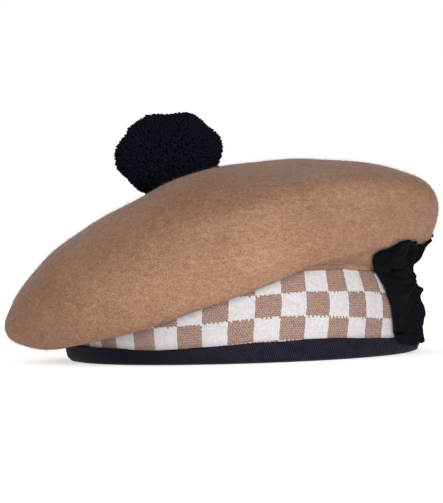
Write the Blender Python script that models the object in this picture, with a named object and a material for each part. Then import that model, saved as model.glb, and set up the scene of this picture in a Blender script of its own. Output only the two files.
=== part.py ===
"""Balmoral bonnet: a soft felt crown on a diced woven band, with a ribbon binding round the rim, a gathered
ribbon cockade at the side and a wool toorie on top.

Metres, +Z up, standing on its rim at z = 0. -Y is the front, +X is the wearer's left, where the cockade is,
and the crown is pulled over to -X, the wearer's right. The pieces are made round the middle of the head
opening and then moved together, so that the middle of the whole bonnet stands over the origin. Angles run
from +X towards +Y, so the front is at 270 degrees.
"""

import math
import random

import bmesh
import bpy
import numpy as np
from mathutils import Matrix, Vector
from mathutils.kdtree import KDTree

# Band and binding
HEAD_WIDTH = 0.172  # inside the band, left to right
HEAD_LENGTH = 0.194  # inside the band, front to back
BAND_HEIGHT = 0.042
BAND_WALL = 0.0026
RIM_TUCK = 0.0036  # how far the lower edge of the band curls in
RIM_TUCK_HEIGHT = 0.0075
BINDING_HEIGHT = 0.0098  # outside the band
BINDING_HEIGHT_INSIDE = 0.0075
RIBBON = 0.0008  # thickness of the binding ribbon
STANDING_WIDTH = 0.0018  # the flat under the rim

# Crown
CROWN_RISE = 0.0577  # top of the crown above the top of the band
CROWN_OVERHANG = 0.0322  # how far the crown stands out past the band where it hangs lowest
FELT = 0.002
FELT_LAP = 0.0004  # how far the felt stands proud of the band at the seam
NECK_RISE = 0.003  # height of the felt above the seam before it turns over
NECK_OUT = 0.0007
TURN_WIDTH = 0.004  # across the turn above the neck
BELLY_OUT = 0.66  # the roll's belly, as shares of the way from its lip to its edge
BELLY_UP = 0.16
FOLD_DEPTH = 0.0042  # the deepest fold in the felt

# Toorie, the wool ball on top
TOORIE_WIDTH = 0.0565
TOORIE_HEIGHT = 0.0425
TOORIE_TILT = math.radians(8)
TOORIE_LIFT_SHARE = 0.38  # from the crown up to its middle, as a share of its height
TOORIE_SHIFT = -0.0308  # its seat from the middle of the head opening, along X
TOORIE_LOCK = 0.0017  # how far each lock of wool stands out
SEAT_SHARE = 0.345  # radius of the flat seat under it, as a share of its width
SEAT_HEIGHT_SHARE = 0.835  # height of that seat above the band, as a share of the crown's rise
SEAT_TILT = math.radians(21)

# Cockade, the gathered ribbon on the wearer's left
COCKADE_ANGLE = math.radians(-16)
COCKADE_WIDTH = 0.074
COCKADE_BOTTOM = 0.0055  # height of its lower edge
COCKADE_THICKNESS = 0.0024
COCKADE_PLEAT = 0.001  # depth of one pleat
COCKADE_PLEATS = 20
COCKADE_EDGE = 0.0012  # thickness at its outer edge
COCKADE_SQUARENESS = 5  # 2 is an oval, and more is squarer
COCKADE_FLARE = 0.06  # how much wider it is at its top than across its middle, as a share
COCKADE_REACH = 0.4  # how far it goes up from the crown's lip to its belly, as a share

CLEARANCE = 0.0003  # between pieces that touch
COCKADE_CLEARANCE = 0.0008
BED_RUN_UP = 0.004  # how far below the cockade the curve that it lies on starts

# Facets
AROUND = 60
CROWN_PARTS = (1, 2, 3, 2, 2, 3, 3, 3)  # facets from each station of the crown to the next
COCKADE_RINGS = 7
SAME_POINT = 0.001  # on a ball of radius 1

HALF_WIDTH = HEAD_WIDTH / 2 + BAND_WALL
HALF_LENGTH = HEAD_LENGTH / 2 + BAND_WALL
SEAT_RADIUS = SEAT_SHARE * TOORIE_WIDTH

# The wall of the band leans in and out. Each row gives how far it stands out from the rim's oval at mid
# height and at the top, as shares of the band's height.
BAND_COLUMNS = ("angle", "mid", "top")
BAND_SECTIONS = (
    (0, -0.033, -0.115),  # right, under the cockade
    (45, -0.02, -0.10),
    (90, 0.0, 0.0),  # back
    (135, 0.04, 0.06),
    (180, 0.08, 0.10),  # left
    (225, 0.08, 0.08),
    (270, 0.01, 0.0),  # front
    (315, 0.01, -0.12),
)
BAND_MID = 0.72  # the mid height, as a share of the band's height

# The crown's sections. The out columns are shares of the overhang, past the rim's oval. A height above 0
# is a share of the crown's rise, above the top of the band, and one below 0 a share of the band's height,
# below its top. The shoulder and the crest lie on the way from the toorie's seat to the edge.
CROWN_COLUMNS = ("angle", "lip_out", "lip", "edge_out", "edge", "shoulder", "crest")
CROWN_SECTIONS = (
    (0, 0.165, 0.275, 0.38, 0.53, 0.82, 1.0),  # right
    (45, 0.20, 0.20, 0.35, 0.46, 0.765, 0.945),
    (90, 0.22, -0.18, 0.46, 0.14, 0.55, 0.88),  # back
    (135, 0.28, -0.70, 0.75, -0.30, 0.18, 0.66),
    (180, 0.18, -0.86, 1.0, -0.57, -0.07, 0.475),  # left
    (225, 0.27, -0.72, 0.75, -0.35, 0.16, 0.64),
    (270, 0.22, -0.21, 0.47, 0.12, 0.53, 0.865),  # front
    (315, 0.19, 0.215, 0.34, 0.44, 0.76, 0.94),
)
SHOULDER_WAY = 0.91
CREST_WAY = 0.5

# Soft folds in the felt. The station counts along the crown: 3 lip, 4 belly, 5 edge, 6 shoulder, 7 crest,
# 8 seat. The spreads are half widths, and the slope turns a fold off the level.
FOLD_COLUMNS = ("angle", "station", "depth", "angle_spread", "station_spread", "slope")
FOLDS = (
    (292, 6.62, 1.0, 30, 0.36, 0.008),  # the hollow between the top and the front roll
    (262, 6.1, -0.45, 26, 0.5, 0.0),  # the swell below it
    (318, 5.35, 0.40, 18, 0.22, 0.006),  # the crease above the roll at the right
    (228, 5.7, 0.30, 20, 0.6, 0.0),
    (60, 6.4, 0.7, 32, 0.5, -0.006),  # the same kinds of fold at the back
    (110, 5.6, -0.4, 24, 0.5, 0.0),
    (150, 6.3, 0.35, 20, 0.5, 0.0),
)
LIP_STATION = 3
FOLDS_START = 1.0  # stations above the lip, and below the seat, where the folds have their full depth
FOLDS_END = 0.7


def rows_to_curves(columns, rows, in_metres):
    """One smooth closed curve for each column after the angle, as a function of the angle in radians."""
    count = len(rows)
    wanted = np.arange(count) * 360 / count
    assert np.allclose([row[0] for row in rows], wanted), "sections lie at equal angles"
    curves = {}
    for place, name in enumerate(columns[1:], start=1):
        values = np.array([in_metres(name, row[place]) for row in rows])
        curves[name] = closed_spline(values)
    return curves


def closed_spline(values):
    """The closed cubic spline through values at equal angles."""
    count = len(values)
    step = 2 * math.pi / count
    system = 4 * np.eye(count) + np.roll(np.eye(count), 1, 0) + np.roll(np.eye(count), -1, 0)
    bends = np.linalg.solve(
        system, 6 / step**2 * (np.roll(values, 1) - 2 * values + np.roll(values, -1))
    )

    def at(angle):
        place = np.mod(np.asarray(angle, float), 2 * math.pi) / step
        first = np.floor(place).astype(int) % count
        after = (first + 1) % count
        t = place - np.floor(place)
        straight = (1 - t) * values[first] + t * values[after]
        curl = ((1 - t) ** 3 - (1 - t)) * bends[first] + (t**3 - t) * bends[after]
        return straight + step**2 / 6 * curl

    return at


def band_in_metres(_, share):
    return share * BAND_HEIGHT


def crown_in_metres(name, share):
    if name.endswith("out"):
        return share * CROWN_OVERHANG
    return BAND_HEIGHT + share * (CROWN_RISE if share > 0 else BAND_HEIGHT)


BAND = rows_to_curves(BAND_COLUMNS, BAND_SECTIONS, band_in_metres)
CROWN = rows_to_curves(CROWN_COLUMNS, CROWN_SECTIONS, crown_in_metres)


def oval(angle, out, height):
    """Points on the rim's oval, moved out by so much, at a height."""
    angle, out, height = np.broadcast_arrays(angle, out, height)
    return np.stack(
        [(HALF_WIDTH + out) * np.cos(angle), (HALF_LENGTH + out) * np.sin(angle), height], -1
    )


def oval_normal(angle):
    """The level outward direction of the rim's oval."""
    return unit(
        np.stack([np.cos(angle) / HALF_WIDTH, np.sin(angle) / HALF_LENGTH, np.zeros_like(angle)], -1)
    )


def unit(vectors):
    return vectors / np.maximum(np.linalg.norm(vectors, axis=-1, keepdims=True), 1e-12)


def band_out(angle, height):
    """How far the outside of the band stands out from the rim's oval."""
    above = (np.asarray(height) - RIM_TUCK_HEIGHT) / (BAND_HEIGHT - RIM_TUCK_HEIGHT)
    mid_at = (BAND_MID * BAND_HEIGHT - RIM_TUCK_HEIGHT) / (BAND_HEIGHT - RIM_TUCK_HEIGHT)
    mid, top = BAND["mid"](angle), BAND["top"](angle)
    through = mid * above * (above - 1) / (mid_at * (mid_at - 1))
    through = through + top * above * (above - mid_at) / (1 - mid_at)
    below = np.clip(-above * (BAND_HEIGHT - RIM_TUCK_HEIGHT) / RIM_TUCK_HEIGHT, 0, 1)
    curled = -RIM_TUCK * (1 - np.sqrt(1 - below**2))
    return np.where(above > 0, through, curled)


def smooth_run(stations, parts):
    """Points on a smooth curve through stations, an array of station, line, axis. The first and the last
    station only steer it. Each stretch has so many parts."""
    found = []
    for k, count in enumerate(parts, start=1):
        a, b, c, d = stations[k - 1 : k + 3]
        steps = [np.sqrt(np.linalg.norm(q - p, axis=-1, keepdims=True)) for p, q in ((a, b), (b, c), (c, d))]
        before, own, after = (np.maximum(step, 1e-6) for step in steps)
        leave = own * ((b - a) / before - (c - a) / (before + own) + (c - b) / own)
        arrive = own * ((c - b) / own - (d - b) / (own + after) + (d - c) / after)
        for j in range(count):
            t = j / count
            found.append(
                (2 * t**3 - 3 * t**2 + 1) * b
                + (t**3 - 2 * t**2 + t) * leave
                + (3 * t**2 - 2 * t**3) * c
                + (t**3 - t**2) * arrive
            )
    found.append(stations[-2])
    return np.array(found)


def seat_frame():
    """The flat seat of the toorie: its middle, the way up its slope, and straight out of it."""
    middle = np.array([TOORIE_SHIFT, 0, BAND_HEIGHT + SEAT_HEIGHT_SHARE * CROWN_RISE])
    uphill = np.array([math.cos(SEAT_TILT), 0, math.sin(SEAT_TILT)])
    outward = np.array([-math.sin(SEAT_TILT), 0, math.cos(SEAT_TILT)])
    return middle, uphill, outward


def crown_stations(angle):
    """The crown's stations from the seam to the toorie's seat, for each angle."""
    middle, uphill, _ = seat_frame()
    seam = oval(angle, band_out(angle, BAND_HEIGHT) + FELT_LAP, BAND_HEIGHT + CLEARANCE)
    neck = oval(angle, band_out(angle, BAND_HEIGHT) + FELT_LAP + NECK_OUT, BAND_HEIGHT + NECK_RISE)
    lip = oval(angle, CROWN["lip_out"](angle), CROWN["lip"](angle))
    edge = oval(angle, CROWN["edge_out"](angle), CROWN["edge"](angle))
    to_lip = unit(lip - neck)
    turn = neck + TURN_WIDTH * unit((1 - to_lip[..., 2:]) * oval_normal(angle) + to_lip)
    belly = lip + BELLY_OUT * (edge - lip)
    belly[..., 2] = lip[..., 2] + BELLY_UP * (edge - lip)[..., 2]

    def on_the_way(share, height):
        point = middle + share * (edge - middle)
        point[..., 2] = height
        return point

    shoulder = on_the_way(SHOULDER_WAY, CROWN["shoulder"](angle))
    crest = on_the_way(CREST_WAY, CROWN["crest"](angle))
    across = np.array([0.0, 1.0, 0.0])
    seat = middle + SEAT_RADIUS * (
        np.cos(angle)[..., None] * uphill + np.sin(angle)[..., None] * across
    )
    below = seam - np.array([0, 0, NECK_RISE])
    centre = np.broadcast_to(middle, seat.shape)
    return np.array([below, seam, neck, turn, lip, belly, edge, shoulder, crest, seat, centre])


def grid_normals(points):
    """Outward normals of a grid of rows that run from the seam up, closed round its columns."""
    along = np.gradient(points, axis=0)
    around = np.roll(points, -1, 1) - np.roll(points, 1, 1)
    return unit(np.cross(around, along))


def folded(points, angle, station):
    """The felt with its folds pressed in and its swells pushed out."""
    depth = np.zeros(points.shape[:2])
    for row in FOLDS:
        fold = dict(zip(FOLD_COLUMNS, row))
        turn = np.degrees(angle)[None, :] - fold["angle"]
        turn = (turn + 180) % 360 - 180
        rise = station[:, None] - fold["station"] - fold["slope"] * turn
        near = (turn / fold["angle_spread"]) ** 2 + (rise / fold["station_spread"]) ** 2
        depth += fold["depth"] * FOLD_DEPTH * np.exp(-near)
    fade = np.clip((station - LIP_STATION) / FOLDS_START, 0, 1)
    fade = fade * np.clip((len(CROWN_PARTS) - station) / FOLDS_END, 0, 1)
    return points - grid_normals(points) * (depth * fade[:, None])[..., None]


def ring_mesh(rings, closed_across=False, first_cap=None, last_cap=None):
    """A bmesh with faces between each ring of points and the next. A cap point closes an end."""
    mesh = bmesh.new()
    loops = [[mesh.verts.new(point) for point in ring] for ring in rings]
    pairs = list(zip(loops, loops[1:]))
    if closed_across:
        pairs.append((loops[-1], loops[0]))
    sides = range(len(loops[0]))
    for low, high in pairs:
        for k in sides:
            after = (k + 1) % len(sides)
            mesh.faces.new((low[k], low[after], high[after], high[k]))
    for point, loop in ((first_cap, loops[0]), (last_cap, loops[-1])):
        if point is None:
            continue
        tip = mesh.verts.new(point)
        for k in sides:
            mesh.faces.new((loop[k], loop[(k + 1) % len(sides)], tip))
    return mesh


def finished(name, mesh, material, sharp_degrees=40):
    """An object of that bmesh, with its faces pointing out."""
    bmesh.ops.recalc_face_normals(mesh, faces=mesh.faces)
    data = bpy.data.meshes.new(name)
    mesh.to_mesh(data)
    mesh.free()
    data.materials.append(material)
    data.shade_smooth()
    data.set_sharp_from_angle(angle=math.radians(sharp_degrees))
    obj = bpy.data.objects.new(name, data)
    bpy.context.scene.collection.objects.link(obj)
    return obj


def cloth(name, colour, roughness):
    material = bpy.data.materials.new(name)
    material.use_nodes = True
    shader = material.node_tree.nodes["Principled BSDF"]
    shader.inputs["Base Color"].default_value = (*colour, 1)
    shader.inputs["Roughness"].default_value = roughness
    shader.inputs["Metallic"].default_value = 0
    return material


def around(count=AROUND):
    return np.arange(count) * 2 * math.pi / count


def build_crown(material):
    """The felt crown: one shell from the seam round the roll and over the top, open to the head."""
    angle = around()
    points = smooth_run(crown_stations(angle), CROWN_PARTS)
    station = np.concatenate(
        [k + np.arange(count) / count for k, count in enumerate(CROWN_PARTS)] + [[len(CROWN_PARTS)]]
    )
    points = folded(points, angle, station)
    crown = finished("crown", ring_mesh(points, last_cap=seat_frame()[0]), material)
    wall = crown.modifiers.new("felt", "SOLIDIFY")
    wall.thickness = FELT
    wall.offset = -1
    wall.use_quality_normals = True
    return crown


def rim_heights():
    """Heights from the lower edge of the band to the top of its curl."""
    bottom = RIBBON + CLEARANCE
    return [bottom, 0.5 * (bottom + RIM_TUCK_HEIGHT), RIM_TUCK_HEIGHT]


def build_band(material):
    """The diced band: an upright woven wall, its lower edge curled in inside the binding."""
    angle = around()
    above = BAND_HEIGHT - RIM_TUCK_HEIGHT
    heights = rim_heights() + [RIM_TUCK_HEIGHT + share * above for share in (0.33, 0.66, 0.84, 1.0)]
    outside = [oval(angle, band_out(angle, height), height) for height in heights]
    inside = [oval(angle, band_out(angle, height) - BAND_WALL, height) for height in heights]
    return finished("diced_band", ring_mesh(outside + inside[::-1], closed_across=True), material)


def build_binding(material):
    """The ribbon folded round the lower edge of the band, outside and inside."""
    angle = around()
    outer, inner = CLEARANCE + RIBBON, -BAND_WALL - CLEARANCE - RIBBON
    standing = np.array([0.5, -0.5]) * STANDING_WIDTH - 0.5 * BAND_WALL
    outer_wall, inner_wall = (
        [height for height in rim_heights() if height < top] + [top]
        for top in (BINDING_HEIGHT, BINDING_HEIGHT_INSIDE)
    )
    section = [(outer, height) for height in outer_wall[::-1]]
    section += [(out, 0) for out in standing]
    section += [(inner, height) for height in inner_wall]
    section += [(inner + RIBBON, height) for height in inner_wall[:0:-1]]
    section += [(inner + RIBBON, RIBBON), (outer - RIBBON, RIBBON)]
    section += [(outer - RIBBON, height) for height in outer_wall[1:]]
    rings = [oval(angle, band_out(angle, height) + out, height) for out, height in section]
    return finished("edge_binding", ring_mesh(rings, closed_across=True), material)


def cockade_bed(angle, share):
    """Points and outward normals of the side of the bonnet under the cockade. The share runs from its
    lower edge, over the binding and the band, to the crown's roll."""
    flat_angle = np.ravel(angle)
    level = oval_normal(flat_angle)
    seam, neck, turn, lip, belly = crown_stations(flat_angle)[1:6]
    top = lip + COCKADE_REACH * (belly - lip)
    over_binding = CLEARANCE + RIBBON + COCKADE_CLEARANCE
    low = (
        (COCKADE_BOTTOM - BED_RUN_UP, over_binding),
        (COCKADE_BOTTOM, over_binding),
        (1.35 * BINDING_HEIGHT, COCKADE_CLEARANCE),
        (BAND_MID * BAND_HEIGHT, COCKADE_CLEARANCE),
    )
    stations = [oval(flat_angle, band_out(flat_angle, height) + out, height) for height, out in low]
    stations += [point + level * COCKADE_CLEARANCE for point in (seam, neck, turn, lip, top, belly)]
    run = smooth_run(np.array(stations), (8,) * (len(stations) - 3))
    lengths = np.linalg.norm(np.diff(run, axis=0), axis=-1)
    reached = np.vstack([np.zeros(len(flat_angle)), np.cumsum(lengths, 0)])
    points, normals = [], []
    for k, way in enumerate(np.ravel(share)):
        at = np.clip(way, 0, 1) * reached[-1, k]
        spread = 0.02 * reached[-1, k]
        point, low_point, high_point = (
            np.array([np.interp(where, reached[:, k], run[:, k, axis]) for axis in range(3)])
            for where in (at, at - spread, at + spread)
        )
        upward = high_point - low_point
        sideways = np.array([-math.sin(flat_angle[k]), math.cos(flat_angle[k]), 0])
        normal = np.cross(sideways, upward)
        points.append(point)
        normals.append(normal / np.linalg.norm(normal))
    shape = (*np.shape(angle), 3)
    return np.array(points).reshape(shape), np.array(normals).reshape(shape)


def build_cockade(material):
    """The cockade: ribbon gathered at its middle into pleats, sewn to the band and under the roll."""
    sides = 4 * COCKADE_PLEATS
    turn = around(sides)
    corner = np.abs(np.cos(turn)) ** COCKADE_SQUARENESS + np.abs(np.sin(turn)) ** COCKADE_SQUARENESS
    reach = corner ** (-1 / COCKADE_SQUARENESS)
    across, up = reach * np.cos(turn), reach * np.sin(turn)
    half_angle = COCKADE_WIDTH / (HALF_WIDTH + HALF_LENGTH)
    wave = np.cos(COCKADE_PLEATS * turn + 0.9 * np.sin(3 * turn))

    def ring(share, lift):
        angle = COCKADE_ANGLE + half_angle * share * across * (1 + COCKADE_FLARE * share * up)
        points, normals = cockade_bed(angle, 0.5 + 0.5 * share * up)
        return points + normals * np.reshape(lift, (-1, 1))

    under, over = [], []
    for k in range(1, COCKADE_RINGS + 1):
        share = k / COCKADE_RINGS
        swell = math.sin(math.pi * share**0.8) ** 0.6 if k < COCKADE_RINGS else 0
        lift = COCKADE_EDGE + (COCKADE_THICKNESS - COCKADE_EDGE) * swell
        pleat = COCKADE_PLEAT * math.sin(math.pi * (0.15 + 0.75 * share)) * wave
        over.append(ring(share, np.maximum(lift + pleat, 0.8 * COCKADE_EDGE)))
        under.append(ring(share, 0 * wave))
    middle, normal = cockade_bed(np.array([COCKADE_ANGLE]), np.array([0.5]))
    knot = middle[0] + normal[0] * COCKADE_EDGE
    mesh = ring_mesh(under + over[::-1], first_cap=middle[0], last_cap=knot)
    return finished("cockade", mesh, material, sharp_degrees=60)


def build_toorie(material):
    """The toorie: a ball of wool, flat where it is sewn to the crown, its locks standing out all over."""
    mesh = bmesh.new()
    bmesh.ops.create_icosphere(mesh, subdivisions=4, radius=1)
    coarse = bmesh.new()
    bmesh.ops.create_icosphere(coarse, subdivisions=3, radius=1)
    locks = KDTree(len(coarse.verts))
    for vert in coarse.verts:
        locks.insert(vert.co, vert.index)
    locks.balance()
    chance = random.Random(7)
    seat, _, outward = (Vector(part) for part in seat_frame())
    wide = TOORIE_WIDTH / 2 - TOORIE_LOCK
    tall = TOORIE_HEIGHT / 2 - TOORIE_LOCK
    middle = seat + outward * TOORIE_LIFT_SHARE * TOORIE_HEIGHT
    lean = Matrix.Rotation(-TOORIE_TILT, 3, "Y")
    for vert in mesh.verts:
        direction = vert.co.normalized()
        is_lock = locks.find(vert.co)[2] < SAME_POINT
        stand_out = TOORIE_LOCK * chance.uniform(0.4, 1.0) if is_lock else 0
        shape = Vector((direction.x * wide, direction.y * wide, direction.z * tall))
        place = middle + lean @ (shape + direction * stand_out)
        pressed = max(CLEARANCE - (place - seat).dot(outward), 0)
        vert.co = place + outward * pressed
    coarse.free()
    return finished("toorie", mesh, material)


def main():
    for obj in list(bpy.data.objects):
        bpy.data.objects.remove(obj, do_unlink=True)
    pieces = (
        build_crown(cloth("tan_felt", (0.40, 0.235, 0.15), 0.95)),
        build_band(cloth("diced_weave", (0.60, 0.50, 0.45), 0.9)),
        build_binding(cloth("ribbon", (0.018, 0.017, 0.024), 0.6)),
        build_cockade(cloth("cockade_ribbon", (0.008, 0.008, 0.011), 0.55)),
        build_toorie(cloth("navy_wool", (0.006, 0.006, 0.012), 0.95)),
    )
    head_middle = bpy.data.objects.new("head_middle", None)
    bpy.context.scene.collection.objects.link(head_middle)
    head_middle.location.x = (CROWN["edge_out"](math.pi) - CROWN["edge_out"](0)) / 2
    for piece in pieces:
        piece.parent = head_middle


main()
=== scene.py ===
import math

import bmesh
import bpy
from mathutils import Matrix, Vector, noise
from mathutils.bvhtree import BVHTree


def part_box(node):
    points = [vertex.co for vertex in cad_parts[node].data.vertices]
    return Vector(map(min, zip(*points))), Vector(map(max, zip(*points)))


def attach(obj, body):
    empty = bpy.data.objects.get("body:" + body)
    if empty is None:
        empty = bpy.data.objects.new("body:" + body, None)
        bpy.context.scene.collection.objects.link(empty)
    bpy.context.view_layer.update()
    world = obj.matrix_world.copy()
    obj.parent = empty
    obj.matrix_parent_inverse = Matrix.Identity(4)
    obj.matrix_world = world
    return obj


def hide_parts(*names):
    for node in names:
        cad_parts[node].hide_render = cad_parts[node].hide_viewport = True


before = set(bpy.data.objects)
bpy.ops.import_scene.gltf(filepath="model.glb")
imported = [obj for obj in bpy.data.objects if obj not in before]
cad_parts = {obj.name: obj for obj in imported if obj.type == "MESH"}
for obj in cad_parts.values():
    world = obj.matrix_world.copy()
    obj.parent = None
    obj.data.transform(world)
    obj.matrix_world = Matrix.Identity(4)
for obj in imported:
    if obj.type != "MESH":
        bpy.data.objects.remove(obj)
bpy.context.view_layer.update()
print("frame loaded:", sorted(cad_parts))


# nodes and objects

def plug(tree, socket, value):
    if isinstance(value, Wire):
        value = value.socket
    if isinstance(value, bpy.types.NodeSocket):
        tree.links.new(value, socket)
    else:
        socket.default_value = value


def setStops(ramp, stops):
    while len(ramp.elements) < len(stops):
        ramp.elements.new(0.5)
    for element, (place, colour) in zip(ramp.elements, stops):
        element.position = place
        element.color = colour


def addNode(tree, kind, settings=(), numbered=(), **named):
    node = tree.nodes.new(kind)
    for key, value in dict(settings).items():
        if key == "stops":
            setStops(node.color_ramp, value)
        else:
            setattr(node, key, value)
    for place, value in dict(numbered).items():
        plug(tree, node.inputs[place], value)
    for name, value in named.items():
        plug(tree, node.inputs[name.replace("_", " ")], value)
    return node


def linked(name, data):
    obj = bpy.data.objects.new(name, data)
    bpy.context.scene.collection.objects.link(obj)
    return obj


# shader maths

class Wire:

    def __init__(self, board, socket):
        self.board = board
        self.socket = socket

    def math(self, operation, *others):
        return self.board.math(operation, self, *others)

    def __add__(self, other):
        return self.math("ADD", other)

    def __sub__(self, other):
        return self.math("SUBTRACT", other)

    def __rsub__(self, other):
        return self.board.math("SUBTRACT", other, self)

    def __mul__(self, other):
        return self.math("MULTIPLY", other)

    def __truediv__(self, other):
        return self.math("DIVIDE", other)

    def __rtruediv__(self, other):
        return self.board.math("DIVIDE", other, self)

    def __pow__(self, other):
        return self.math("POWER", other)

    def __rpow__(self, other):
        return self.board.math("POWER", other, self)

    def __mod__(self, other):
        return self.math("FLOORED_MODULO", other)

    def __rmod__(self, other):
        return self.board.math("FLOORED_MODULO", other, self)

    __radd__ = __add__
    __rmul__ = __mul__

    def floor(self):
        return self.math("FLOOR")

    def absolute(self):
        return self.math("ABSOLUTE")

    def sine(self):
        return self.math("SINE")

    def clamped(self):
        return self.math("MAXIMUM", 0).math("MINIMUM", 1)


class Board:

    def __init__(self, name, **shaderValues):
        self.material = bpy.data.materials.new(name)
        self.material.use_nodes = True
        self.tree = self.material.node_tree
        self.shader = self.tree.nodes["Principled BSDF"]
        self.finish(**shaderValues)

    def finish(self, **values):
        for name, value in values.items():
            plug(self.tree, self.shader.inputs[name.replace("_", " ")], value)
        return self.material

    def add(self, kind, settings=(), numbered=(), out=0, **named):
        return Wire(self, addNode(self.tree, kind, settings, numbered, **named).outputs[out])

    def math(self, operation, *values):
        return self.add("ShaderNodeMath", {"operation": operation}, enumerate(values))

    def mix(self, amount, first, second):
        colours = {0: amount, 6: first, 7: second}
        return self.add("ShaderNodeMix", {"data_type": "RGBA"}, colours, out=2)

    def place(self):
        return self.add("ShaderNodeTexCoord", out=3)

    def uv(self, name):
        way = self.add("ShaderNodeUVMap", {"uv_map": name})
        return [self.add("ShaderNodeSeparateXYZ", out=out, Vector=way) for out in (0, 1)]

    def join(self, x, y, z=0.0):
        return self.add("ShaderNodeCombineXYZ", X=x, Y=y, Z=z)

    def stretched(self, vector, scale):
        return self.add("ShaderNodeMapping", Vector=vector, Scale=scale)

    def noise(self, vector, scale, detail=2.0, roughness=0.5):
        return self.add(
            "ShaderNodeTexNoise", Vector=vector, Scale=scale, Detail=detail, Roughness=roughness
        )

    def warped(self, vector, scale, amount):
        stir = self.add("ShaderNodeTexNoise", out=1, Vector=vector, Scale=scale, Detail=1.0)
        factors = enumerate((stir, (amount, amount, amount), vector))
        return self.add("ShaderNodeVectorMath", {"operation": "MULTIPLY_ADD"}, factors)

    def chance(self, vector):
        return self.add("ShaderNodeTexWhiteNoise", {"noise_dimensions": "3D"}, Vector=vector)

    def bump(self, height, distance, strength):
        return self.add("ShaderNodeBump", Height=height, Distance=distance, Strength=strength)


# view and light

view = {
    "place": (-0.0002, -1.3, 0.0534),
    "roll": 1.8,  # degrees, the photo leans a little
    "lens": 182.4,
    "sensor": 36,
}

lights = {
    "backdrop": 1.0,  # what shows behind the bonnet
    "room": 0.37,  # what the white room throws on it
    "keyLight": {"place": (0.38, -1.6, 0.3), "size": 0.8, "watts": 29.0},
    "fillLight": {"place": (-1.2, -0.7, 1.3), "size": 1.2, "watts": 3.4},
    "backLight": {"place": (-0.4, 1.6, 0.5), "size": 1.2, "watts": 9.0},
    "aim": (0.0, 0.0, 0.06),
}


def placeCamera():
    camera = linked("photoCamera", bpy.data.cameras.new("photoCamera"))
    camera.data.lens = view["lens"]
    camera.data.sensor_width = view["sensor"]
    upright = Matrix.Rotation(math.radians(90), 4, "X")
    lean = Matrix.Rotation(math.radians(-view["roll"]), 4, "Z")
    camera.matrix_world = Matrix.Translation(view["place"]) @ upright @ lean
    bpy.context.scene.camera = camera


def placeLight(name, place, size, watts):
    lamp = bpy.data.lights.new(name, "AREA")
    lamp.shape = "DISK"
    lamp.size = size
    lamp.energy = watts
    toAim = Vector(lights["aim"]) - Vector(place)
    turn = toAim.to_track_quat("-Z", "Y").to_matrix().to_4x4()
    linked(name, lamp).matrix_world = Matrix.Translation(place) @ turn


def placeWorld():
    world = bpy.data.worlds.new("studio")
    bpy.context.scene.world = world
    world.use_nodes = True
    strength = addNode(
        world.node_tree,
        "ShaderNodeMapRange",
        To_Min=lights["room"],
        To_Max=lights["backdrop"],
        Value=addNode(world.node_tree, "ShaderNodeLightPath").outputs["Is Camera Ray"],
    )
    background = world.node_tree.nodes["Background"]
    background.inputs["Color"].default_value = (1, 1, 1, 1)
    plug(world.node_tree, background.inputs["Strength"], strength.outputs[0])


placeCamera()
for name in ("keyLight", "fillLight", "backLight"):
    placeLight(name, **lights[name])
placeWorld()
bpy.context.scene.view_settings.view_transform = "Standard"
print("camera and lights placed")


# mesh helpers

def cadMesh(nodeName):
    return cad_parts[nodeName].data


def mergedCopy(nodeName):
    bm = bmesh.new()
    bm.from_mesh(cadMesh(nodeName))
    bmesh.ops.remove_doubles(bm, verts=bm.verts, dist=2e-6)
    bmesh.ops.join_triangles(
        bm,
        faces=bm.faces,
        angle_face_threshold=math.radians(50),
        angle_shape_threshold=math.radians(60),
    )
    return bm


def creaseFolds(bm, degrees, amount):
    creases = bm.edges.layers.float.get("crease_edge") or bm.edges.layers.float.new("crease_edge")
    for edge in bm.edges:
        if edge.calc_face_angle(0) > math.radians(degrees):
            edge[creases] = amount


def meshOf(bm, name, *materials):
    mesh = bpy.data.meshes.new(name)
    bm.to_mesh(mesh)
    bm.free()
    for material in materials:
        mesh.materials.append(material)
    return mesh


def newPiece(name, bm, material):
    piece = linked(name, meshOf(bm, name, material))
    piece.data.shade_smooth()
    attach(piece, "root")
    return piece


def applied(piece):
    evaluated = piece.evaluated_get(bpy.context.evaluated_depsgraph_get())
    mesh = bpy.data.meshes.new_from_object(evaluated)
    piece.modifiers.clear()
    piece.data = mesh
    return piece


def subdivided(piece, levels):
    smooth = piece.modifiers.new("smooth", "SUBSURF")
    smooth.levels = smooth.render_levels = levels
    smooth.use_limit_surface = False
    return applied(piece)


def pushed(piece, amountAt):
    moves = [vert.normal * amountAt(vert.co, vert.normal) for vert in piece.data.vertices]
    for vert, move in zip(piece.data.vertices, moves):
        vert.co += move
    piece.data.update()


def treeOf(*meshes):
    corners, faces = [], []
    for mesh in meshes:
        faces += [[len(corners) + k for k in face.vertices] for face in mesh.polygons]
        corners += [vert.co.copy() for vert in mesh.vertices]
    return BVHTree.FromPolygons(corners, faces)


def closed(piece, tree, reach, gap):  # draws what is within the reach towards the gap
    for vert in piece.data.vertices:
        nearest, _, _, away = tree.find_nearest(vert.co)
        if gap < away < reach:
            vert.co += (nearest - vert.co) * (1 - gap / away) * (1 - away / reach) ** 0.5
    piece.data.update()


def share(value):
    return min(max(value, 0.0), 1.0)


def bell(distance, width):
    return math.exp(-((distance / width) ** 2))


def humps(place, rows):
    return sum(by * bell(place - at, width) for by, at, width in rows)


def swells(degrees, rows):
    return sum(by * bell((degrees - at + 180) % 360 - 180, width) for by, at, width in rows)


def lumpy(point, lumps, seed=0.0):
    shift = Vector((seed, seed * 0.7, -seed))
    return sum(height * noise.noise(point / size + shift) for size, height in lumps)


headMiddle = (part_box("edge_binding")[0][0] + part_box("edge_binding")[1][0]) / 2
hollow = Vector((headMiddle, 0, 0.06))  # a place inside the crown

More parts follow.
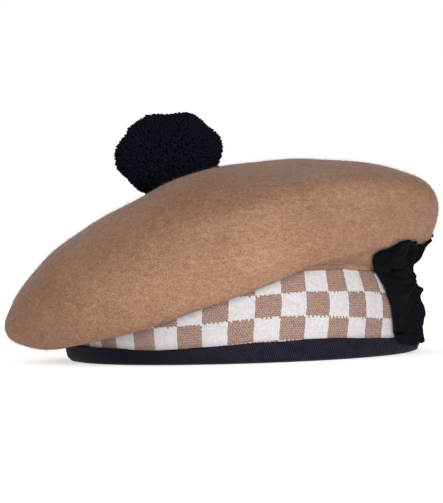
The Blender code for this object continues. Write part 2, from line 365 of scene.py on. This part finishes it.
rim = {
    "halfWidth": 0.0886,  # the oval that the band stands on
    "halfLength": 0.0996,
    "steps": 1440,  # the way round it is measured in so many
    "topSwells": ((0.0012, 291, 9), (0.0013, 304, 7)),  # the band stands higher: by, at degrees, width
}


def angleOf(point):
    return math.atan2(point[1] / rim["halfLength"], (point[0] - headMiddle) / rim["halfWidth"])


def degreesOf(point):
    return math.degrees(angleOf(point)) % 360


def risen(piece, still, full):  # both are heights: none at the first, all at the second and past it
    for vert in piece.data.vertices:
        part = share((vert.co.z - still) / (full - still))
        vert.co.z += part * swells(degreesOf(vert.co), rim["topSwells"])
    piece.data.update()


# scattered fibres and yarn ends

# tip and belly are shares of the radius, and bend is how far the end leans over
def fibre(name, material, radius, length, sides, tip=0.0, bend=0.0, belly=1.0):
    bm = bmesh.new()
    bmesh.ops.create_cone(
        bm, cap_ends=tip > 0, segments=sides, radius1=radius, radius2=tip * radius, depth=length
    )
    bmesh.ops.translate(bm, verts=bm.verts, vec=(0, 0, length / 2))
    if bend:
        upright = [edge for edge in bm.edges if abs(edge.verts[0].co.z - edge.verts[1].co.z) > length / 2]
        bmesh.ops.subdivide_edges(bm, edges=upright, cuts=1)
        for vert in bm.verts:
            vert.co.x += bend * (vert.co.z / length) ** 2
            if 0 < vert.co.z < length:
                vert.co.x *= belly
                vert.co.y *= belly
    return bpy.data.objects.new(name, meshOf(bm, name, material))


def scatterTree(name, unit, look):
    tree = bpy.data.node_groups.new(name, "GeometryNodeTree")
    for way in ("INPUT", "OUTPUT"):
        tree.interface.new_socket("Geometry", in_out=way, socket_type="NodeSocketGeometry")
    points = addNode(
        tree,
        "GeometryNodeDistributePointsOnFaces",
        Mesh=addNode(tree, "NodeGroupInput").outputs[0],
        Density=look["density"],
        Seed=look["seed"],
    )
    sway = look["lean"]
    lean = addNode(
        tree,
        "FunctionNodeRandomValue",
        {"data_type": "FLOAT_VECTOR"},
        {0: (-sway, -sway, -math.pi), 1: (sway, sway, math.pi)},
        Seed=look["seed"] + 1,
    )
    turned = addNode(
        tree,
        "FunctionNodeRotateRotation",
        {"rotation_space": "LOCAL"},
        {1: lean.outputs[0]},
        Rotation=points.outputs["Rotation"],
    )
    least, most = look["sizes"]
    size = addNode(
        tree,
        "FunctionNodeRandomValue",
        {"data_type": "FLOAT"},
        {2: least, 3: most},
        Seed=look["seed"] + 2,
    )
    placed = addNode(
        tree,
        "GeometryNodeInstanceOnPoints",
        Points=points.outputs["Points"],
        Instance=addNode(tree, "GeometryNodeObjectInfo", Object=unit).outputs["Geometry"],
        Rotation=turned.outputs[0],
        Scale=size.outputs[1],
    )
    real = addNode(tree, "GeometryNodeRealizeInstances", Geometry=placed.outputs[0])
    addNode(tree, "NodeGroupOutput", numbered={0: real.outputs[0]})
    return tree


def scattered(name, host, unit, look):
    piece = linked(name, host.copy())
    piece.modifiers.new("strands", "NODES").node_group = scatterTree(name, unit, look)
    applied(piece)
    piece.data.shade_smooth()
    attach(piece, "root")
    print(name, len(piece.data.polygons), "faces")


# diced band

bandLook = {
    "checks": 48,
    "firstCheck": 16.3,  # where the checks start, counted from the back
    "firstLine": 0.0174,  # height of the line between the first two rows
    "firstLineSwells": ((0.0044, 284, 29), (0.002, 90, 60)),  # by, at degrees, width
    "rowHeight": 0.0112,
    "middleRowSwells": ((0.0016, 314, 17), (-0.0007, 277, 8)),
    "lean": (0.013, 0.028, 0.17),  # none at the first height, this share of a check from the second up
    "leanWhere": (308, 60),  # degrees and width
    "squeeze": ((0.18, 311, 9), (0.08, 321, 6)),  # checks run narrower here: by, at, width
    "threads": 12,  # across one check
    "twill": (10.0, 6.0),  # strokes across a check and up a row
    "teeth": 6,  # across one check
    "toothHeight": 0.1,
    "fray": 0.03,  # the upright edges waver within this share of a check
    "white": (0.53, 0.51, 0.52, 1),
    "whiteShade": (0.29, 0.27, 0.278, 1),
    "tan": (0.32, 0.22, 0.186, 1),
    "tanShade": (0.12, 0.066, 0.048, 1),
    "lumps": ((0.03, 0.0003), (0.008, 0.00008)),  # size and height
    "seamDepth": 0.00012,  # the dent between two checks
    "seamWidth": 0.09,  # share of a check
}


def rimWay():
    steps = rim["steps"]
    turns = [math.pi / 2 + 2 * math.pi * step / steps for step in range(steps + 1)]
    corners = [(rim["halfWidth"] * math.cos(turn), rim["halfLength"] * math.sin(turn)) for turn in turns]
    reached = [0.0]
    for before, after in zip(corners, corners[1:]):
        reached.append(reached[-1] + math.dist(before, after))
    return [way / reached[-1] for way in reached], reached[-1]


wayTable, rimLength = rimWay()


def checkPlace(point):  # in checks along from the first, and in rows up
    turn = (angleOf(point) - math.pi / 2) % (2 * math.pi)
    at = turn / (2 * math.pi) * (len(wayTable) - 1)
    before = min(int(at), len(wayTable) - 2)
    way = wayTable[before] + (at - before) * (wayTable[before + 1] - wayTable[before])
    degrees = degreesOf(point)
    low, high, lean = bandLook["lean"]
    lean *= share((point[2] - low) / (high - low))
    along = way * bandLook["checks"] - bandLook["firstCheck"]
    along += swells(degrees, bandLook["squeeze"]) - swells(degrees, ((lean, *bandLook["leanWhere"]),))
    overLine = point[2] - bandLook["firstLine"] - swells(degrees, bandLook["firstLineSwells"])
    rowHeight = bandLook["rowHeight"]
    middleRow = rowHeight + swells(degrees, bandLook["middleRowSwells"])
    if overLine < 0:
        return along, 1 + overLine / rowHeight
    if overLine < middleRow:
        return along, 1 + overLine / middleRow
    return along, 2 + (overLine - middleRow) / rowHeight


def addWayUv(mesh, name, placeOf, whole):
    layer = mesh.uv_layers.new(name=name)
    for face in mesh.polygons:
        places = [placeOf(mesh.vertices[mesh.loops[k].vertex_index].co) for k in face.loop_indices]
        first = places[0][0]
        for k, (along, up) in zip(face.loop_indices, places):
            along += whole * round((first - along) / whole)  # keeps a face at the join in one piece
            layer.data[k].uv = (along, up)


def domed(part):
    return 1.0 - ((part - 0.5) * 2.0).absolute() ** 2.0


def diceMaterial():
    board = Board("dicedWeave", Roughness=0.9, Specular_IOR_Level=0.1)
    along, up = board.uv("weave")
    flat = board.join(along, up)
    threads = bandLook["threads"]
    warp = (along * threads).floor()
    weft = (up * threads).floor()
    thread = domed((along * threads) % 1.0) * 0.5 + domed((up * threads) % 1.0) * 0.5

    # which check it is, with toothed and frayed edges
    column = (along * (2 * bandLook["teeth"])).floor()
    tooth = (column % 2.0) * board.chance(board.join(column, 3.0, (up + 0.5).floor())) - 0.3
    fray = board.chance(board.join(weft, 7.0, (along + 0.5).floor())) - 0.5
    squares = (along + fray * bandLook["fray"]).floor() + (up + tooth * bandLook["toothHeight"]).floor()
    isTan = squares % 2.0

    # slanting strokes of the tan checks, broken by threads that cross them
    slip = board.noise(board.join(along * 2.0, up * 2.0), scale=2, detail=2) * 5.0
    twillAlong, twillUp = (count * 2 * math.pi for count in bandLook["twill"])
    twill = (along * twillAlong + up * twillUp + slip).sine()
    crossing = (along * (twillAlong * 1.2)).sine() * 0.3 + (up * (twillUp * 1.7) + slip).sine() * 0.4
    gaps = board.noise(flat, scale=11, detail=1)
    stroke = (twill * 0.75 + crossing + (gaps - 0.5) * 2.2) * 0.5

    speck = board.chance(board.join(warp, weft, 1.0))
    mottle = board.noise(flat, scale=5, detail=2)
    whiteTone = (1.0 - thread) * 0.45 + speck * 0.3 + (mottle - 0.5) * 0.4
    tanTone = stroke * 0.8 + 0.42 + (speck - 0.5) * 0.25
    colour = board.mix(
        isTan,
        board.mix(whiteTone.clamped(), bandLook["white"], bandLook["whiteShade"]),
        board.mix(tanTone.clamped(), bandLook["tan"], bandLook["tanShade"]),
    )
    height = thread * 0.7 - isTan * stroke * 0.6
    return board.finish(Base_Color=colour, Normal=board.bump(height, distance=0.00025, strength=0.6))


def bandRelief(point, normal):
    nearSeam = max(bell((place + 0.5) % 1 - 0.5, bandLook["seamWidth"]) for place in checkPlace(point))
    return lumpy(point, bandLook["lumps"], seed=5.0) - bandLook["seamDepth"] * nearSeam


bm = mergedCopy("diced_band")
creaseFolds(bm, degrees=50, amount=0.8)
band = subdivided(newPiece("dicedBand", bm, diceMaterial()), levels=3)
risen(band, still=0.034, full=0.042)
pushed(band, bandRelief)
addWayUv(band.data, "weave", checkPlace, whole=bandLook["checks"])
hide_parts("diced_band")
print("diced band", len(band.data.polygons), "faces")


# felt crown

crownLook = {
    "tan": (0.26, 0.142, 0.088, 1),
    "deep": (0.178, 0.093, 0.057, 1),
    "pale": (0.346, 0.204, 0.134, 1),
    "sheenTint": (0.8, 0.745, 0.79, 1),
    "lumps": ((0.045, 0.0007), (0.016, 0.00028), (0.006, 0.0001)),  # size and height
    "frontFolds": (  # soft ridges on the front, each along a few places X and Z, fading to its ends
        {
            "x": (-0.085, -0.057, -0.037, -0.018, 0.010, 0.038, 0.062),
            "z": (0.028, 0.037, 0.043, 0.046, 0.051, 0.059, 0.063),
            "height": 0.0036, "width": 0.013, "fade": 0.02,
        },
        {
            "x": (0.000, 0.020, 0.040, 0.074, 0.095),
            "z": (0.080, 0.085, 0.087, 0.087, 0.083),
            "height": 0.0028, "width": 0.009, "fade": 0.02,
        },
    ),
    "fuller": (  # its outline swells, or sinks, near these places: X, Z, by, width
        (-0.084, 0.058, 0.0012, 0.014), (-0.110, 0.014, 0.0023, 0.009), (0.107, 0.080, 0.0021, 0.011),
        (0.108, 0.063, -0.0012, 0.009), (0.012, 0.0995, -0.0011, 0.022), (-0.043, 0.083, -0.0011, 0.012),
    ),
    "droop": {"x": -0.077, "width": 0.034, "z": 0.03, "lift": 0.0018},  # the low roll, lifted a little
    "sags": (  # of the roll's lower edge: by, at degrees, width
        (0.0013, 303, 7), (0.0036, 322, 9), (0.0032, 345, 10), (0.0012, 350, 12),
    ),
    "sagFrom": (0.058, 0.014),  # full below this height, and gone this far over it
    "sagFree": 0.005,  # full this far from the band, and none on it
    "napDeep": (0.2, 0.115, 0.075, 1),
    "napPale": (0.34, 0.23, 0.17, 1),
    "napFibre": {"radius": 0.000035, "length": 0.0021, "sides": 3},
    "nap": {"density": 520000, "seed": 3, "lean": 1.35, "sizes": (0.45, 1.0)},
}


def feltMaterial():
    board = Board(
        "tanFelt",
        Roughness=0.95,
        Specular_IOR_Level=0.05,
        Sheen_Weight=0.11,
        Sheen_Roughness=0.3,
        Sheen_Tint=crownLook["sheenTint"],
    )
    place = board.place()
    combed = board.warped(place, scale=22, amount=0.016)
    clouds = board.noise(place, scale=28, detail=3, roughness=0.55)
    streaks = board.noise(board.stretched(combed, (260, 200, 560)), scale=1, detail=3, roughness=0.6)
    hairs = board.noise(board.stretched(combed, (900, 700, 1900)), scale=1, detail=2, roughness=0.7)
    grain = board.noise(place, scale=1500, detail=2, roughness=0.6)
    tone = (clouds - 0.5) * 0.7 + (streaks - 0.5) * 0.8 + (hairs - 0.5) * 1.5 + (grain - 0.5) * 1.6 + 0.5
    colour = board.add(
        "ShaderNodeValToRGB",
        {"stops": ((0.1, crownLook["deep"]), (0.5, crownLook["tan"]), (0.92, crownLook["pale"]))},
        Fac=tone.clamped(),
    )
    height = streaks * 0.5 + hairs * 0.35 + grain * 0.3
    return board.finish(Base_Color=colour, Normal=board.bump(height, distance=0.0005, strength=0.8))


def napMaterial():
    board = Board("tanNap", Roughness=0.95, Specular_IOR_Level=0.05)
    tone = board.noise(board.place(), scale=160, detail=2)
    return board.finish(Base_Color=board.mix(tone, crownLook["napDeep"], crownLook["napPale"]))


def between(value, places, heights):
    for low, high, first, second in zip(places, places[1:], heights, heights[1:]):
        if low <= value < high:
            return first + (second - first) * (value - low) / (high - low)
    return heights[0] if value < places[0] else heights[-1]


def crownRelief(point, normal):
    raised = lumpy(point, crownLook["lumps"])
    front = share(-normal[1] * 1.6)  # full where the felt faces forward
    for fold in crownLook["frontFolds"]:
        toEnd = min(point[0] - fold["x"][0], fold["x"][-1] - point[0])
        over = point[2] - between(point[0], fold["x"], fold["z"])
        raised += fold["height"] * front * share(toEnd / fold["fade"]) * bell(over, fold["width"])
    side = 1 if normal.dot(point - hollow) > 0 else -1
    for x, z, by, width in crownLook["fuller"]:
        raised += side * by * bell(math.hypot(point[0] - x, point[2] - z), width)
    return raised


def sagAt(point):
    over, reach = crownLook["sagFrom"]
    free = min(bandTree.find_nearest(point)[3] / crownLook["sagFree"], 1)
    high = bell(max(0, point[2] - over), reach)
    return free * high * swells(degreesOf(point), crownLook["sags"])


def settled(piece):  # lifts the droop and lets the edge of the roll sag
    droop = crownLook["droop"]
    for vert in piece.data.vertices:
        low = share((droop["z"] - vert.co.z) / droop["z"])
        vert.co.z += droop["lift"] * low * bell(vert.co.x - droop["x"], droop["width"])
        vert.co.z -= sagAt(vert.co)


def outside(mesh, name):
    bm = bmesh.new()
    bm.from_mesh(mesh)
    inner = [face for face in bm.faces if face.normal.dot(face.calc_center_median() - hollow) < 0]
    bmesh.ops.delete(bm, geom=inner, context="FACES")
    return meshOf(bm, name)


bandTree = treeOf(band.data)
bm = mergedCopy("crown")
creaseFolds(bm, degrees=62, amount=0.75)
crown = subdivided(newPiece("feltCrown", bm, feltMaterial()), levels=2)
risen(crown, still=0.05, full=0.043)
pushed(crown, crownRelief)
settled(crown)
closed(crown, bandTree, reach=0.0012, gap=0.00005)
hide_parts("crown")
print("felt crown", len(crown.data.polygons), "faces")

crownOutside = outside(crown.data, "napHost")
napFibre = fibre("napFibre", napMaterial(), **crownLook["napFibre"])
scattered("crownNap", crownOutside, napFibre, crownLook["nap"])


# ribbon binding

bindingLook = {
    "ribPitch": 0.0011,
    "ribLean": 0.35,  # along for each step up
    "weft": 9000.0,  # radians of its waves in a metre
    "colour": (0.0245, 0.0222, 0.0365, 1),
    "ribShade": (0.0036, 0.0034, 0.006, 1),
    "top": 0.0086,  # height of its top edge
    "topSwells": ((-0.0016, 243, 14), (0.0021, 292, 24), (0.001, 90, 60)),  # by, at degrees, width
    "liftPower": 1.5,  # over 1, so that its foot stays where it is
    "paintedRollShade": (0.05, 0.1, 0.85),  # painted shade under the low roll: at this share of the way, width, by
    "wave": (0.0003, 0.012),  # of its top edge: height and size
    "bulges": ((0.0014, 184, 22), (0.0004, 250, 12)),  # outward: by, at degrees, width
    "lumps": ((0.012, 0.00012), (0.03, 0.0002)),  # size and height
    "bulgeFrom": 0.003,  # bulges and lumps are full from this height up
}


def ribbonMaterial():
    board = Board("ribbon", Roughness=0.6, Specular_IOR_Level=0.03)
    along, up = board.uv("ribbon")
    turnsPerMetre = 2 * math.pi / bindingLook["ribPitch"]
    slip = board.noise(board.place(), scale=90, detail=2) * 3.0
    slant = along * (rimLength * turnsPerMetre) + up * (bindingLook["ribLean"] * turnsPerMetre) + slip
    ribs = (slant.sine() + 1.0) * 0.5
    weft = ((up * bindingLook["weft"]).sine() + 1.0) * 0.5
    dust = board.noise(board.place(), scale=260, detail=3, roughness=0.6)
    # painted shade: the ribbon is darker where the crown's low roll overhangs it
    dimAt, dimWidth, dimBy = bindingLook["paintedRollShade"]
    paintedRollShade = (1.0 - ((along - dimAt) / dimWidth).absolute()).clamped() * dimBy
    tone = (ribs * 0.8 + (dust - 0.5) * 0.8) * (1.0 - paintedRollShade)
    return board.finish(
        Base_Color=board.mix(tone.clamped(), bindingLook["ribShade"], bindingLook["colour"]),
        Roughness=0.5 + (1.0 - ribs) * 0.2,
        Normal=board.bump(ribs + weft * 0.15, distance=0.0003, strength=0.8),
    )


def rimPlace(point):
    return checkPlace(point)[0] / bandLook["checks"], point[2]


def edged(piece):  # sets the height of its top edge
    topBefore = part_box("edge_binding")[1][2]
    waveHeight, waveSize = bindingLook["wave"]
    for vert in piece.data.vertices:
        top = bindingLook["top"] + swells(degreesOf(vert.co), bindingLook["topSwells"])
        wave = waveHeight * noise.noise(vert.co / waveSize)
        vert.co.z += (top + wave - topBefore) * (vert.co.z / topBefore) ** bindingLook["liftPower"]


def bindingRelief(point, normal):
    bulge = swells(degreesOf(point), bindingLook["bulges"]) + lumpy(point, bindingLook["lumps"], seed=9.0)
    return min(point[2] / bindingLook["bulgeFrom"], 1) * bulge


bm = mergedCopy("edge_binding")
creaseFolds(bm, degrees=40, amount=0.85)
binding = subdivided(newPiece("ribbonBinding", bm, ribbonMaterial()), levels=2)
edged(binding)
pushed(binding, bindingRelief)
addWayUv(binding.data, "ribbon", rimPlace, whole=1.0)
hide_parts("edge_binding")
print("ribbon binding", len(binding.data.polygons), "faces")


# cockade

cockadeLook = {
    "colour": (0.0078, 0.0074, 0.0102, 1),
    "shade": (0.0012, 0.0011, 0.0018, 1),
    "darkFrom": (0.042, 0.008),  # painted shade: its top is darker from this height, in full this far over it
    "middle": (0.5, 0.55),  # its gathered middle, as shares of its box along Y and Z
    "pleats": 22,
    "pleatDepth": 0.0011,
    "pleatRise": 0.72,  # a slow rise and a quick fall, like a laid pleat
    "pleatFall": 0.28,
    "ruffles": (  # the larger folds: by, at and width, in degrees round its middle
        (0.0009, 66, 7), (0.0012, 82, 6), (-0.001, 104, 7), (0.0011, 128, 8), (-0.0009, 160, 8),
        (0.0011, 187, 7), (-0.001, 214, 8), (0.0012, 240, 7), (-0.0009, 262, 6),
    ),
    "backRuffles": (  # those of its back edge: by, at this height, width
        (-0.0008, 0.0425, 0.003), (-0.0009, 0.0335, 0.0022), (0.0016, 0.0308, 0.0016),
        (-0.0016, 0.0268, 0.002), (0.0004, 0.0195, 0.003), (-0.0009, 0.0155, 0.0022),
        (-0.0026, 0.0112, 0.0022), (-0.0008, 0.0075, 0.0016),
    ),
    "fullAt": {"pleats": 0.014, "ruffles": 0.02, "backRuffles": 0.012},  # full so far from its middle
    "crumple": ((0.009, 0.0006), (0.004, 0.0003)),  # size and height
    "forwardWay": (-0.7, -1, 0),
    "forward": 0.0038,  # how far its front edge is drawn forward
    "forwardMore": (  # and more, or less: by, at height, width
        (0.0118, 0.0505, 0.0065), (-0.0022, 0.022, 0.009), (0.003, 0.006, 0.006),
    ),
    "fold": 0.046,  # above this height its top lies against the roll
    "topRises": (  # its top is higher, or lower: by, at Y, width
        (0.0028, -0.058, 0.008), (-0.0075, -0.0365, 0.011), (-0.003, -0.012, 0.01),
    ),
    "tipLift": 0.0078,  # of its upper back corner
    "topOut": 0.002,  # its top leans out over the roll
    "offBed": 0.0034,  # before it is pleated it lies no further than this from the bonnet
    "closer": (  # and its back lies nearer: by, at height, width
        (0.002, 0.0515, 0.0065), (0.0024, 0.0435, 0.0028), (0.0013, 0.0558, 0.0022),
    ),
    "backFrom": (-0.042, 0.012),  # the back starts at this Y, in full this far past it
    "footDrop": 0.0024,  # its foot hangs this much lower
    "footHeight": 0.008,  # and this much of it is its foot
}


def cockadeMaterial():
    board = Board("cockadeRibbon", Roughness=0.7, Specular_IOR_Level=0.01)
    place = board.place()
    ribs = board.noise(board.stretched(place, (900, 2600, 900)), scale=1, detail=1)
    folds = board.noise(place, scale=170, detail=2)
    darkFrom, darkOver = cockadeLook["darkFrom"]
    height = board.add("ShaderNodeSeparateXYZ", out=2, Vector=place)
    # painted shade on its top, where the crown's roll overhangs it
    paintedTopShade = ((height - darkFrom) / darkOver).clamped()
    tone = ribs * 0.6 + folds * 0.5 - paintedTopShade * 0.4
    return board.finish(
        Base_Color=board.mix(tone.clamped(), cockadeLook["shade"], cockadeLook["colour"]),
        Normal=board.bump(ribs * 0.5 + folds, distance=0.0004, strength=0.5),
    )


cockadeLow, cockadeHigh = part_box("cockade")
cockadeMiddle = [
    low + part * (high - low)
    for part, low, high in zip(cockadeLook["middle"], cockadeLow[1:], cockadeHigh[1:])
]


def cockadePleat(point, normal):
    aside = point[1] - cockadeMiddle[0]
    up = point[2] - cockadeMiddle[1]
    away = math.hypot(aside, up)
    turn = math.atan2(up, aside)
    phase = cockadeLook["pleats"] * turn + 2.0 * noise.noise(Vector((turn * 2, away * 60, 1.0)))
    fold = (phase / (2 * math.pi)) % 1.0
    rise = cockadeLook["pleatRise"]
    knife = fold / rise if fold < rise else (1 - fold) / cockadeLook["pleatFall"]
    fullAt = cockadeLook["fullAt"]
    pleat = min(away / fullAt["pleats"], 1.0) * cockadeLook["pleatDepth"] * (knife - 0.5)
    ruffle = min(away / fullAt["ruffles"], 1.0) * swells(math.degrees(turn), cockadeLook["ruffles"])
    if aside > 0:
        ruffle += min(aside / fullAt["backRuffles"], 1.0) * humps(point[2], cockadeLook["backRuffles"])
    crumple = lumpy(point, cockadeLook["crumple"], seed=2.0)
    return max(normal[0], 0) ** 0.5 * (pleat + ruffle + crumple)


def cockadeSlide(point):
    fold = cockadeLook["fold"]
    front = max(0.0, (cockadeMiddle[0] - point[1]) / (cockadeMiddle[0] - cockadeLow[1]))
    back = max(0.0, (point[1] - cockadeMiddle[0]) / (cockadeHigh[1] - cockadeMiddle[0]))
    high = max(0.0, (point[2] - fold) / (cockadeHigh[2] - fold))
    low = max(0.0, 1 - (point[2] - cockadeLow[2]) / cockadeLook["footHeight"])
    forward = cockadeLook["forward"] + humps(point[2], cockadeLook["forwardMore"])
    top = high * humps(point[1], cockadeLook["topRises"])
    rise = cockadeLook["tipLift"] * high * back ** 2 + top - cockadeLook["footDrop"] * low
    out = Vector((point[0] - headMiddle, point[1], 0)).normalized() * cockadeLook["topOut"] * high
    return out + Vector(cockadeLook["forwardWay"]) * forward * front + Vector((0, 0, rise))


def cockadeOffBed(point):
    start, over = cockadeLook["backFrom"]
    return cockadeLook["offBed"] - share((point[1] - start) / over) * humps(point[2], cockadeLook["closer"])


def slid(piece, bedBefore, bedAfter, slideOf, limitAt):  # keeps each place as far from the bed as it was
    for vert in piece.data.vertices:
        moved = vert.co + slideOf(vert.co)
        away = min(bedBefore.find_nearest(vert.co)[3], limitAt(moved))
        nearest, normal = bedAfter.find_nearest(moved)[:2]
        out = moved - nearest
        vert.co = nearest + (out if out.dot(normal) > 0 else normal).normalized() * away
    piece.data.update()


bm = mergedCopy("cockade")
cockade = newPiece("cockadeRibbon", bm, cockadeMaterial())
ironed = cockade.modifiers.new("ironed", "SMOOTH")
ironed.factor = 0.5
ironed.iterations = 4
cockade = subdivided(cockade, levels=3)
bandAndRim = [cadMesh("diced_band"), cadMesh("edge_binding")]
plainBed = treeOf(cadMesh("crown"), *bandAndRim)
feltBed = treeOf(crownOutside, *bandAndRim)
slid(cockade, plainBed, feltBed, cockadeSlide, cockadeOffBed)
pushed(cockade, cockadePleat)
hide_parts("cockade")
print("cockade", len(cockade.data.polygons), "faces")


# toorie

toorieLook = {
    "colour": (0.0034, 0.003, 0.0058, 1),
    "tip": (0.007, 0.0062, 0.0123, 1),
    "swells": (  # its uneven outline: by, at, width in degrees round it, seen from the front
        (0.0013, 2, 16), (-0.0016, 28, 10), (0.0004, 60, 8), (-0.0018, 88, 22), (-0.0006, 128, 12),
        (-0.0022, 158, 14), (-0.0008, 188, 12), (-0.003, 216, 17),
    ),
    "lumps": ((0.012, 0.0006),),  # size and height
    "sunk": 0.0024,  # how far the core lies under the yarn ends
    "yarnEnd": {"radius": 0.0008, "length": 0.0033, "sides": 6, "tip": 0.3, "bend": 0.0006, "belly": 1.5},
    "yarn": {"density": 980000, "seed": 11, "lean": 0.5, "sizes": (0.75, 1.1)},
    "fuzzRadius": 0.00004,
    "fuzzLength": 0.0016,
    "fuzz": {"density": 2800000, "seed": 21, "lean": 1.0, "sizes": (0.5, 1.0)},
}


def woolMaterial():
    board = Board("navyWool", Roughness=0.95, Specular_IOR_Level=0.03)
    place = board.place()
    mottle = board.noise(place, scale=420, detail=2, roughness=0.6)
    tone = mottle * 0.7 + board.noise(place, scale=70, detail=2) * 0.5 - 0.1
    strands = board.noise(place, scale=2200, detail=2)
    return board.finish(
        Base_Color=board.mix(tone.clamped(), toorieLook["colour"], toorieLook["tip"]),
        Normal=board.bump(strands, distance=0.0003, strength=0.6),
    )


def toorieForm(point, normal):
    out = point - toorieMiddle
    turn = math.degrees(math.atan2(out.z, out.x))
    uneven = swells(turn, toorieLook["swells"]) * math.hypot(out.x, out.z) / out.length
    sunk = toorieLook["sunk"] * (1 - max(0, -normal[2]))
    return uneven - sunk + lumpy(point, toorieLook["lumps"], seed=4.0)


wool = woolMaterial()
toorieMiddle = sum((Vector(corner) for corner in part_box("toorie")), Vector()) / 2
toorie = subdivided(newPiece("toorieCore", mergedCopy("toorie"), wool), levels=1)
pushed(toorie, toorieForm)
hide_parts("toorie")
print("toorie core", len(toorie.data.polygons), "faces")

yarnEnd = fibre("yarnEnd", wool, **toorieLook["yarnEnd"])
scattered("toorieYarn", toorie.data, yarnEnd, toorieLook["yarn"])
fuzzLength = toorieLook["fuzzLength"] + toorieLook["sunk"]
woolFibre = fibre("woolFibre", wool, toorieLook["fuzzRadius"], fuzzLength, sides=3)
scattered("toorieFuzz", toorie.data, woolFibre, toorieLook["fuzz"])


# floor

floorLook = {
    "radius": 6.0,
    "tone": 0.75,
    "cloud": 1.02,  # its faint clouds are paler by this factor
    "glow": (0.6, 0.75),  # it is a lit sweep: near the bonnet and far off
    "glowReach": (0.2, 0.8),
}


def grey(amount):
    return (amount, amount, amount, 1)


def floorMaterial():
    board = Board("paleFloor", Roughness=0.9, Specular_IOR_Level=0.1, Emission_Strength=1.0)
    near, far = floorLook["glowReach"]
    away = board.add("ShaderNodeVectorMath", {"operation": "LENGTH"}, out=1, Vector=board.place())
    glow = [grey(amount) for amount in floorLook["glow"]]
    cloud = board.noise(board.place(), scale=3, detail=2)
    tone = floorLook["tone"]
    return board.finish(
        Base_Color=board.mix(cloud, grey(tone), grey(tone * floorLook["cloud"])),
        Emission_Color=board.mix(((away - near) / (far - near)).clamped(), *glow),
    )


bm = bmesh.new()
bmesh.ops.create_circle(bm, cap_ends=True, segments=96, radius=floorLook["radius"])
floor = linked("studioFloor", meshOf(bm, "studioFloor", floorMaterial()))
print("floor laid")
